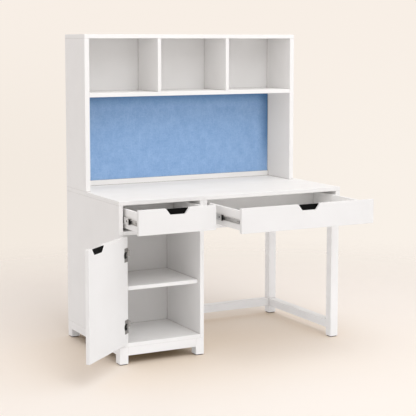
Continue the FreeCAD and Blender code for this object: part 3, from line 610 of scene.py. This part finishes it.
@dataclass
class Mould:
    """One mesh piece in the making."""

    name: str
    form: bmesh.types.BMesh = field(default_factory=bmesh.new)

    def bridge(self, rings: Sequence[Ring]) -> None:
        """Join rings of equal count in order with quads."""
        count = len(rings[0])
        for first, second in zip(rings, rings[1:]):
            for index in range(count):
                after = (index + 1) % count
                self.form.faces.new((first[index], first[after], second[after], second[index]))

    def close(self, rings: Sequence[Ring]) -> None:
        """Join rings in order, and close the first and the last with a face."""
        self.bridge(rings)
        self.form.faces.new(list(reversed(rings[0])))
        self.form.faces.new(rings[-1])

    def lathe(self, profile: Sequence[Pair], origin: Vector, axis: Vector, steps: int = 28) -> None:
        """Turn a profile round an axis.

        Args:
            profile: pairs of radius and height; its first and last ring are closed.
            origin: where height is nought.
            axis: direction of height.
            steps: segments round the axis.
        """
        turn = Vector((0, 0, 1)).rotation_difference(axis.normalized()).to_matrix()
        rings = []
        for radius, height in profile:
            ring = []
            for index in range(steps):
                angle = math.tau * index / steps
                spot = Vector((radius * math.cos(angle), radius * math.sin(angle), height))
                ring.append(self.form.verts.new(origin + turn @ spot))
            rings.append(ring)
        self.close(rings)

    def slab(self, outline: Sequence[Pair], origin: Vector, across: Vector, up: Vector, depth: Vector,
             soften: float) -> None:
        """Extrude an outline and soften its two rims.

        Args:
            outline: corners in the plane of across and up.
            origin: where the outline's nought lies.
            across: unit vector of the outline's first number.
            up: unit vector of the outline's second number.
            depth: the extrusion.
            soften: size of the rounded rims.
        """
        rings = []
        middle = Vector((sum(p[0] for p in outline), sum(p[1] for p in outline))) / len(outline)
        reach = depth.length
        for level, inset in ((0.0, soften), (soften, 0.0), (reach - soften, 0.0), (reach, soften)):
            ring = []
            for point in outline:
                spot = Vector(point)
                spot += (middle - spot).normalized() * inset
                place = origin + across * spot.x + up * spot.y + depth.normalized() * level
                ring.append(self.form.verts.new(place))
            rings.append(ring)
        self.close(rings)

    def piece(self, shop: Workshop, slot: Slot, body: str, place: Optional[Matrix] = None,
              sharp: float = 35.0) -> bpy.types.Object:
        """Write the mesh, dress it and hang it on its body.

        Args:
            shop: gives the material.
            slot: the record's slot of the piece.
            body: the CAD body that it rides on.
            place: moves the mesh from its own axes to the frame's.
            sharp: edges over this angle in degrees stay sharp.

        Returns:
            The new object.
        """
        if place is not None:
            self.form.transform(place)
        bmesh.ops.recalc_face_normals(self.form, faces=self.form.faces)
        for face in self.form.faces:
            face.smooth = True
        for edge in self.form.edges:
            if len(edge.link_faces) == 2 and edge.calc_face_angle(0.0) > math.radians(sharp):
                edge.smooth = False
        mesh = bpy.data.meshes.new(self.name)
        self.form.to_mesh(mesh)
        self.form.free()
        mesh.materials.append(shop.material(slot))
        made = bpy.data.objects.new(self.name, mesh)
        bpy.context.scene.collection.objects.link(made)
        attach(made, body)
        shop.note(self.name, slot)
        return made


X, Y, Z = Vector((1, 0, 0)), Vector((0, 1, 0)), Vector((0, 0, 1))

# A pan head's outline down to the foot of its cross recess, in shares of its radius and height.
PAN_HEAD = ((1.0, 0.0), (1.0, 0.35), (0.9, 0.72), (0.68, 0.94), (0.42, 1.0), (0.36, 0.96), (0.16, 0.45),
            (0.1, 0.4))


def pan_head(mould: Mould, origin: Vector, axis: Vector, radius: float = 0.0031,
             tall: float = 0.0014) -> None:
    """A pan head with a cross recess, seated at origin.

    Args:
        mould: the piece it is added to.
        origin: middle of its seat.
        axis: the way that it faces.
        radius: of the head.
        tall: height of the head.
    """
    mould.lathe([(radius * wide, tall * high) for wide, high in PAN_HEAD], origin, axis)


# ---- carcass ----


@dataclass
class Carcass:
    """Desktop, cabinet, leg frame and drawer bay: painted boards; the lower boards and the leg frame
    take a lighter copy of the white paint, painted light.
    """

    boards: tuple[str, ...] = (
        "desktop", "cabinet_left_side", "cabinet_divider", "bay_left_panel", "bay_right_panel",
        "bay_front_rail", "rear_apron")
    # These take a lighter copy of the white paint: painted light.
    low_boards: tuple[str, ...] = (
        "cabinet_right_side", "cabinet_bottom", "adjustable_shelf", "base_front_rail", "base_rear_rail",
        "base_side_rails", "cabinet_feet", "front_leg", "rear_leg", "side_stretcher", "rear_stretcher")
    backs: tuple[str, ...] = ("cabinet_back", "cupboard_back")

    def dress(self, shop: Workshop) -> None:
        """Paint the boards and finish the small fittings."""
        shop.coat(Slot.WHITE, *self.boards)
        shop.coat(Slot.WHITE, *self.low_boards, finish=LIT_LOW_PAINT)
        shop.coat(Slot.BACK, *self.backs)
        shop.coat(Slot.ZINC, "shelf_pins")
        shop.coat(Slot.BEECH, "dowels")
        shop.coat(Slot.GLIDE, "glides")


@dataclass
class Hutch:
    """The hutch with its three cubbies."""

    boards: tuple[str, ...] = ("hutch_left_side", "hutch_right_side", "hutch_top", "hutch_shelf",
                               "hutch_left_divider", "hutch_right_divider", "hutch_bottom_rail")

    def dress(self, shop: Workshop) -> None:
        """Paint the boards."""
        shop.coat(Slot.WHITE, *self.boards)
        shop.coat(Slot.BACK, "hutch_back")


@dataclass
class Pinboard:
    """Blue felt stretched over a board and folded round its edges."""

    turn: float = 0.0011
    cloth: float = 0.00115
    pitch: float = 0.0055
    relief: float = 0.00022
    fold_steps: int = 4
    lump_scale: float = 55.0
    fuzz_scale: float = 210.0
    pull_reach: float = 0.02
    pull_waves: Pair = (130.0, 118.0)
    shares: Triple = (0.45, 0.35, 0.6)

    def dress(self, shop: Workshop) -> None:
        """Finish the board behind the cloth."""
        shop.coat(Slot.FIBRE, "pinboard_core")
        shop.coat(Slot.CLOTH, "pinboard_fabric")

    def sink(self, x: float, z: float, edge: float) -> float:
        """How far the felt lies behind its highest point.

        Args:
            x: place across the board.
            z: place up the board.
            edge: distance from the nearest edge of the board.

        Returns:
            A depth in metres, never negative.
        """
        lumps = noise.noise(Vector((x * self.lump_scale, 3.1, z * self.lump_scale))) * 0.5 + 0.5
        fuzz = noise.noise(Vector((x * self.fuzz_scale, 7.7, z * self.fuzz_scale))) * 0.5 + 0.5
        waves = math.sin(x * self.pull_waves[0]) * math.sin(z * self.pull_waves[1])
        pull = math.exp(-edge / self.pull_reach) * (0.5 + 0.5 * waves)
        return self.relief * (self.shares[0] * lumps + self.shares[1] * fuzz + self.shares[2] * pull)

    def grid(self, form: bmesh.types.BMesh, low: Vector, high: Vector, inset: float, depth: float,
             relief: bool) -> list[Ring]:
        """A grid of points across the board.

        Args:
            form: takes the points.
            low: lowest corner of the cloth.
            high: highest corner of the cloth.
            inset: distance of the grid's rim from the cloth's edge.
            depth: distance behind the cloth's front.
            relief: let the points sink as felt does.

        Returns:
            Rows of points, from the left to the right and from the foot to the head.
        """
        wide, tall = high.x - low.x - 2 * inset, high.z - low.z - 2 * inset
        columns, rows = round(wide / self.pitch), round(tall / self.pitch)
        grid = []
        for i in range(columns + 1):
            x = low.x + inset + wide * i / columns
            line = []
            for j in range(rows + 1):
                z = low.z + inset + tall * j / rows
                edge = min(x - low.x, high.x - x, z - low.z, high.z - z)
                rim = i in (0, columns) or j in (0, rows)
                sink = self.sink(x, z, edge) if relief and not rim else 0.0
                line.append(form.verts.new((x, low.y + depth + sink, z)))
            grid.append(line)
        return grid

    def rim(self, grid: list[Ring]) -> list[tuple[Vert, Pair]]:
        """The grid's outer points in order, each with the way that leads off the board."""
        last_column, last_row = len(grid) - 1, len(grid[0]) - 1
        spots = [(i, 0) for i in range(last_column)] + [(last_column, j) for j in range(last_row)]
        spots += [(i, last_row) for i in range(last_column, 0, -1)]
        spots += [(0, j) for j in range(last_row, 0, -1)]
        result = []
        for i, j in spots:
            across = -1.0 if i == 0 else 1.0 if i == last_column else 0.0
            up = -1.0 if j == 0 else 1.0 if j == last_row else 0.0
            result.append((grid[i][j], (across, up)))
        return result

    def ring(self, form: bmesh.types.BMesh, rim: list[tuple[Vert, Pair]], out: float,
             y: float) -> Ring:
        """A ring of points round the board, out from the rim, at a depth."""
        return [form.verts.new((vert.co.x + across * out, y, vert.co.z + up * out))
                for vert, (across, up) in rim]

    def build(self, shop: Workshop) -> None:
        """Stretch the felt over the board."""
        low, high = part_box("pinboard_fabric")
        mould = Mould("pinboard_cloth")
        form = mould.form
        face = self.grid(form, low, high, self.turn, 0.0, True)
        inner = self.grid(form, low, high, self.cloth, self.cloth, False)
        for grid in (face, inner):
            for line, after in zip(grid, grid[1:]):
                for j in range(len(line) - 1):
                    form.faces.new((line[j], after[j], after[j + 1], line[j + 1]))
        rim = self.rim(face)
        rings = [[vert for vert, _ in rim]]
        for step in range(1, self.fold_steps + 1):
            angle = math.pi / 2 * step / self.fold_steps
            rings.append(self.ring(form, rim, self.turn * math.sin(angle),
                                   low.y + self.turn * (1 - math.cos(angle))))
        rings.append(self.ring(form, rim, self.turn, high.y))
        inner_rim = self.rim(inner)
        rings.append(self.ring(form, inner_rim, 0.0, high.y))
        rings.append([vert for vert, _ in inner_rim])
        mould.bridge(rings)
        piece = mould.piece(shop, Slot.CLOTH, "carcass", sharp=60.0)
        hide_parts("pinboard_fabric")


# ---- drawers ----


class Side(Enum):
    """Left or right wall beside a drawer; the value points into the drawer."""

    LEFT = 1
    RIGHT = -1


@dataclass
class Drawer:
    """One drawer with its pull and its two telescopic slides."""

    kind: str
    room: float = 0.013
    gauge: float = 0.0012
    middle_from: float = 0.003
    stop_long: float = 0.007
    bumper_long: float = 0.004
    bumper_thick: float = 0.0014
    bumper_out: float = 0.0014
    bumper_over: float = 0.0006
    lip_long: float = 0.0012
    button_at: float = 0.03
    button_radius: float = 0.0042
    button_proud: float = 0.0007
    catch_thick: float = 0.005
    lever_thick: float = 0.002
    web_gap: float = 0.0002
    screw_at: tuple[float, ...] = (0.034, 0.162, 0.29)

    def dress(self, shop: Workshop) -> None:
        """Finish the CAD nodes of the drawer and its slides."""
        name = self.kind
        shop.coat(Slot.WHITE, f"{name}_drawer_front", finish=SHADED_FRONT_PAINT)
        shop.coat(Slot.DRAWER, f"{name}_drawer_left_side", f"{name}_drawer_right_side",
                  f"{name}_drawer_back", f"{name}_drawer_bottom")
        shop.coat(Slot.PULL, f"{name}_drawer_pull")
        shop.coat(Slot.ZINC, f"{name}_slide_outer", f"{name}_slide_middle")
        shop.coat(Slot.ZINC, f"{name}_slide_inner", finish=DULL_ZINC)
        stop_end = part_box(f"{name}_slide_retainers")[0].y + self.stop_long
        retainers = replace(FINISHES[Slot.BLACK], name=f"{name}_slide_plastic", tail=NATURAL_NYLON,
                            tail_from=stop_end)
        shop.coat(Slot.BLACK, f"{name}_slide_retainers", finish=retainers)

    def walls(self) -> list[tuple[Side, float]]:
        """Both walls beside the drawer, with their places across the desk."""
        low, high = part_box(f"{self.kind}_slide_outer")
        return [(Side.LEFT, low.x), (Side.RIGHT, high.x)]

    def build(self, shop: Workshop) -> None:
        """Add the small parts of the slides."""
        self.bumpers(shop)
        self.tips(shop)
        self.screws(shop)

    def bumpers(self, shop: Workshop) -> None:
        """A rounded black bumper on the front end of each middle member, and its lock button."""
        low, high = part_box(f"{self.kind}_slide_middle")
        middle, half = (low.z + high.z) / 2, (high.z - low.z) / 2 + self.bumper_over
        mould = Mould(f"{self.kind}_slide_bumpers")
        long, out = self.bumper_long, -self.bumper_out
        outline = rounded([(out, -half), (long, -half * 0.92), (long, half * 0.92), (out, half)],
                          0.0026, 6)
        inner, tall = out + self.lip_long, half * 0.8
        lip = rounded([(out, -tall), (inner, -tall), (inner, tall), (out, tall)], 0.0005, 3)
        radius, proud = self.button_radius, self.button_proud
        button = [(radius, -0.0004), (radius, proud * 0.5), (radius * 0.85, proud),
                  (radius * 0.4, proud)]
        for side, wall in self.walls():
            sign = side.value
            origin = Vector((wall + sign * (self.middle_from - self.bumper_thick), low.y, middle))
            mould.slab(outline, origin, Y, Z, X * sign * self.bumper_thick, 0.0004)
            mould.slab(lip, origin, Y, Z, X * sign * (self.bumper_thick + self.gauge), 0.0003)
            seat = Vector((wall + sign * self.middle_from, low.y + self.button_at, middle))
            mould.lathe(button, seat, X * -sign)
        mould.piece(shop, Slot.BLACK, f"{self.kind}_slides")

    def tips(self, shop: Workshop) -> None:
        """A dark catch inside the front end of each drawer member, with its lever."""
        low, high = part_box(f"{self.kind}_slide_inner")
        middle, half = (low.z + high.z) / 2, (high.z - low.z) / 2 - self.gauge - 0.0004
        mould = Mould(f"{self.kind}_slide_tips")
        catch = rounded([(0.0015, -half), (0.007, -half), (0.007, half), (0.0015, half)], 0.0012, 3)
        lever = rounded([(0.007, -0.0016), (0.024, -0.0009), (0.024, 0.0009), (0.007, 0.0016)],
                        0.0006, 2)
        for side, wall in self.walls():
            sign = side.value
            for outline, thick, soften in ((catch, self.catch_thick, 0.0004),
                                           (lever, self.lever_thick, 0.0003)):
                start = wall + sign * (self.room - self.gauge - (thick + self.web_gap))
                mould.slab(outline, Vector((start, low.y, middle)), Y, Z, X * sign * thick, soften)
        mould.piece(shop, Slot.BLACK, f"{self.kind}_drawer")

    def screws(self, shop: Workshop) -> None:
        """Pan-head screws through the web of each drawer member."""
        low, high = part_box(f"{self.kind}_slide_inner")
        middle = (low.z + high.z) / 2
        mould = Mould(f"{self.kind}_slide_screws")
        for side, wall in self.walls():
            sign = side.value
            for at in self.screw_at:
                seat = Vector((wall + sign * (self.room - self.gauge), low.y + at, middle))
                pan_head(mould, seat, X * -sign)
        mould.piece(shop, Slot.NICKEL, f"{self.kind}_drawer")


# ---- door ----


@dataclass
class Door:
    """The door, its pull and its two concealed hinges."""

    stands_open: float = 139.0
    panel_in: float = 0.0202
    skin: float = 0.001
    cup_at: float = 0.02375
    cup_radius: float = 0.0162
    cup_gap: float = 0.0025
    damper_deep: float = 0.009
    lever_in: float = 0.0007
    lever_thick: float = 0.0008
    hinge_half: float = 0.018
    arm_thick: float = 0.012
    adjuster_at: tuple[float, ...] = (0.052, 0.07)
    adjuster_head: Pair = (0.0036, 0.0012)

    def dress(self, shop: Workshop) -> None:
        """Finish the CAD nodes of the door and its hinges."""
        shop.coat(Slot.WHITE, "door_panel", finish=SHADED_FRONT_PAINT)
        shop.coat(Slot.PULL, "door_pull")
        shop.coat(Slot.NICKEL, "hinge_cups", "hinge_cup_screws", "hinge_arms", "hinge_pins",
                  "hinge_plate_screws")

    def heights(self) -> list[float]:
        """Middle heights of both hinges."""
        low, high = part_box("hinge_pins")
        return [low.z + self.hinge_half, high.z - self.hinge_half]

    def place(self) -> Matrix:
        """From the closed door's own axes, with the hinge line as nought, to the frame's."""
        low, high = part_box("hinge_pins")
        line = Vector(((low.x + high.x) / 2, (low.y + high.y) / 2, 0.0))
        return Matrix.Translation(line) @ Matrix.Rotation(-math.radians(self.stands_open), 4, "Z")

    def build(self, shop: Workshop) -> None:
        """Add the small parts of the hinges."""
        self.dampers(shop)
        self.levers(shop)
        self.adjusters(shop)

    def dampers(self, shop: Workshop) -> None:
        """The black damper housing that fills the mouth of each hinge cup."""
        mould = Mould("hinge_dampers")
        radius, skin = self.cup_radius - self.cup_gap, self.panel_in + self.skin
        profile = [(radius * 0.96, 0.0), (radius, 0.0006), (radius, 0.0072), (radius * 0.95, 0.0079),
                   (radius * 0.6, 0.0082), (radius * 0.3, 0.0078)]
        for height in self.heights():
            mould.lathe(profile, Vector((self.cup_at, skin - self.damper_deep, height)), Y, 36)
        mould.piece(shop, Slot.BLACK, "door", self.place())

    def levers(self, shop: Workshop) -> None:
        """The folded steel lever across each cup's mouth."""
        mould = Mould("hinge_levers")
        skin = self.panel_in + self.skin
        outline = rounded([(-0.0165, -0.0085), (-0.006, -0.007), (-0.006, 0.007), (-0.0165, 0.0085)],
                          0.0025, 4)
        for height in self.heights():
            origin = Vector((self.cup_at, skin - self.lever_in, height))
            mould.slab(outline, origin, X, Z, Y * self.lever_thick, 0.0002)
        mould.piece(shop, Slot.NICKEL, "door", self.place())

    def adjusters(self, shop: Workshop) -> None:
        """Two adjusting screws on each hinge arm."""
        mould = Mould("hinge_adjusters")
        arm_low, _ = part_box("hinge_arms")
        face = arm_low.x + self.arm_thick
        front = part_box("cabinet_left_side")[0].y
        for height in self.heights():
            for at in self.adjuster_at:
                pan_head(mould, Vector((face, front + at, height)), X, *self.adjuster_head)
        mould.piece(shop, Slot.NICKEL, "carcass")


# ---- studio ----


@dataclass
class Camera:
    """The viewing angle; focal and drop are in the units of frame_wide."""

    place: Triple = (-2.173, -4.972, 1.484)
    yaw: float = VIEW_YAW
    pitch: float = 5.96
    sensor: float = 36.0
    focal: float = 1200.0
    frame_wide: float = 416.0
    drop: float = 42.0

    def build(self) -> None:
        """Make the camera and set it."""
        data = bpy.data.cameras.new("view")
        data.sensor_width = self.sensor
        data.lens = data.sensor_width * self.focal / self.frame_wide
        data.shift_y = -self.drop / self.frame_wide
        camera = bpy.data.objects.new("view", data)
        bpy.context.scene.collection.objects.link(camera)
        camera.location = self.place
        camera.rotation_euler = (math.pi / 2 - math.radians(self.pitch), 0.0, -math.radians(self.yaw))
        bpy.context.scene.camera = camera


@dataclass
class Lamp:
    """A large soft lamp that looks at a point."""

    name: str
    place: Triple
    aim: Triple
    size: float
    power: float
    colour: Colour = (1.0, 1.0, 1.0)

    def build(self) -> None:
        """Make the lamp."""
        data = bpy.data.lights.new(self.name, "AREA")
        data.shape = "DISK"
        data.size = self.size
        data.energy = self.power
        data.color = self.colour
        lamp = bpy.data.objects.new(self.name, data)
        lamp.location = self.place
        way = Vector(self.aim) - Vector(self.place)
        lamp.rotation_euler = way.to_track_quat("-Z", "Y").to_euler()
        bpy.context.scene.collection.objects.link(lamp)


@dataclass
class Studio:
    """A pale floor that runs out into a pale backdrop, and plain soft light."""

    ambient: Colour = (0.726, 0.694, 0.682)
    wall_left: Colour = (0.896, 0.823, 0.745)
    wall_right: Colour = (0.947, 0.880, 0.807)
    wall_high: Colour = (0.939, 0.863, 0.791)
    floor_seen: Colour = (0.931, 0.876, 0.819)
    # The next two colours paint a shadow on the floor: a broad warm one and a dark contact one.
    floor_shadow: Colour = (0.80, 0.64, 0.47)
    floor_contact_shadow: Colour = (0.34, 0.21, 0.09)
    floor_bounce: Colour = (0.95, 0.945, 0.94)
    wall_turn: Pair = (-0.17, 0.17)
    wall_rise: Pair = (-0.12, 0.04)
    floor_radius: float = 5.0
    floor_rings: int = 12
    floor_steps: int = 64
    # How far the floor's painted shadow reaches, and where its dark contact shadow sets in.
    shade_reach: float = 0.9
    contact_shadow_span: Pair = (0.04, 0.2)
    fade: Pair = (1.3, 3.4)
    middle: Pair = (0.58, 0.1)
    lamps: tuple[Lamp, ...] = (
        Lamp("key", (4.7, -1.9, 2.6), (0.55, 0.2, 0.5), 2.4, 13.0, (0.88, 0.94, 1.0)),
        Lamp("front", (0.5, -6.6, 6.3), (0.58, 0.1, 0.3), 5.0, 172.0, (0.955, 0.975, 1.0)),
        Lamp("overhead", (0.7, -0.9, 4.6), (0.58, 0.1, 0.2), 3.0, 46.0, (0.97, 0.98, 0.97)),
    )

    def build(self) -> None:
        """Light the scene and lay the floor."""
        self.world()
        for lamp in self.lamps:
            lamp.build()
        self.floor()

    def world(self) -> None:
        """Even light for the object; the camera, gloss and glass see the pale backdrop."""
        world = bpy.data.worlds.new("studio")
        bpy.context.scene.world = world
        world.use_nodes = True
        wire = Wiring(world.node_tree)
        background = world.node_tree.nodes["Background"]
        way = wire.split(wire.node("TexCoord").outputs["Generated"])
        yaw = math.radians(VIEW_YAW)
        across = wire.math("ADD", wire.math("MULTIPLY", way.outputs["X"], math.cos(yaw)),
                           wire.math("MULTIPLY", way.outputs["Y"], -math.sin(yaw)))
        wall = wire.mix(wire.span(across, *self.wall_turn, smooth=True), rgba(self.wall_left),
                        rgba(self.wall_right))
        high = wire.span(way.outputs["Z"], *self.wall_rise, smooth=True)
        wall = wire.mix(high, wall, rgba(self.wall_high))
        path = wire.node("LightPath")
        seen = wire.math("MAXIMUM", path.outputs["Is Camera Ray"], path.outputs["Is Glossy Ray"])
        seen = wire.math("MAXIMUM", seen, path.outputs["Is Transmission Ray"])
        wire.fill(background, Color=wire.mix(seen, rgba(self.ambient), wall), Strength=1.0)

    def floor(self) -> None:
        """A round floor that keeps the desk's shadow, with a painted shadow added, and fades into the
        backdrop.
        """
        form = bmesh.new()
        steps = self.floor_steps
        middle = form.verts.new((*self.middle, 0.0))
        last = None
        for index in range(1, self.floor_rings + 1):
            radius = self.floor_radius * index / self.floor_rings
            ring = []
            for k in range(steps):
                angle = math.tau * k / steps
                ring.append(form.verts.new((self.middle[0] + radius * math.cos(angle),
                                            self.middle[1] + radius * math.sin(angle), 0.0)))
            for k in range(steps):
                after = (k + 1) % steps
                if last is None:
                    form.faces.new((middle, ring[k], ring[after]))
                else:
                    form.faces.new((last[k], ring[k], ring[after], last[after]))
            last = ring
        mesh = bpy.data.meshes.new("floor")
        form.to_mesh(mesh)
        form.free()
        mesh.materials.append(self.floor_material())
        made = bpy.data.objects.new("floor", mesh)
        bpy.context.scene.collection.objects.link(made)

    def floor_material(self) -> Material:
        """Matt pale floor; seen by the camera, it carries a painted shadow over the real one, and its
        far part lets the backdrop through.
        """
        material, wire, shader = new_material("studio_floor")
        place = wire.place()
        path = wire.node("LightPath")
        worn = wire.noise(place, 3.0, 4.0)
        # Painted shadow, seen by the camera only: the floor turns warmer and darker where the desk hems
        # it in, and dark brown close under it.
        open_sky = wire.nook(self.shade_reach, 12)
        seen = wire.mix(open_sky, rgba(self.floor_shadow), rgba(self.floor_seen))
        seen = wire.mix(wire.span(open_sky, *self.contact_shadow_span, 1.0, 0.0), seen, rgba(self.floor_contact_shadow))
        base = wire.mix(path.outputs["Is Camera Ray"], rgba(self.floor_bounce), seen)
        wire.fill(shader, Base_Color=base, Roughness=wire.span(worn, 0.3, 0.7, 0.5, 0.6),
                  Specular_IOR_Level=0.15)
        split = wire.split(place)
        aside = wire.math("SUBTRACT", split.outputs["X"], self.middle[0])
        back = wire.math("SUBTRACT", split.outputs["Y"], self.middle[1])
        far = wire.math("SQRT", wire.math("ADD", wire.math("MULTIPLY", aside, aside),
                                          wire.math("MULTIPLY", back, back)))
        share = wire.math("MULTIPLY", wire.span(far, *self.fade, smooth=True),
                          path.outputs["Is Camera Ray"])
        blend, clear = wire.node("MixShader"), wire.node("BsdfTransparent")
        wire.feed(blend.inputs[0], share)
        wire.feed(blend.inputs[1], shader.outputs[0])
        wire.feed(blend.inputs[2], clear.outputs[0])
        wire.feed(material.node_tree.nodes["Material Output"].inputs["Surface"], blend.outputs[0])
        return material


# ---- all together ----


def main() -> None:
    """Build everything in order."""
    logging.basicConfig(level=logging.INFO, format="%(message)s")
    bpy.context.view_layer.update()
    bpy.context.scene.view_settings.view_transform = "Standard"
    shop = Workshop()
    for part in (Carcass(), Hutch()):
        part.dress(shop)
    for part in (Pinboard(), Drawer("small"), Drawer("wide"), Door()):
        part.dress(shop)
        part.build(shop)
    Camera().build()
    Studio().build()
    log.info("%d pieces", shop.pieces)


if __name__ == "__main__":
    main()
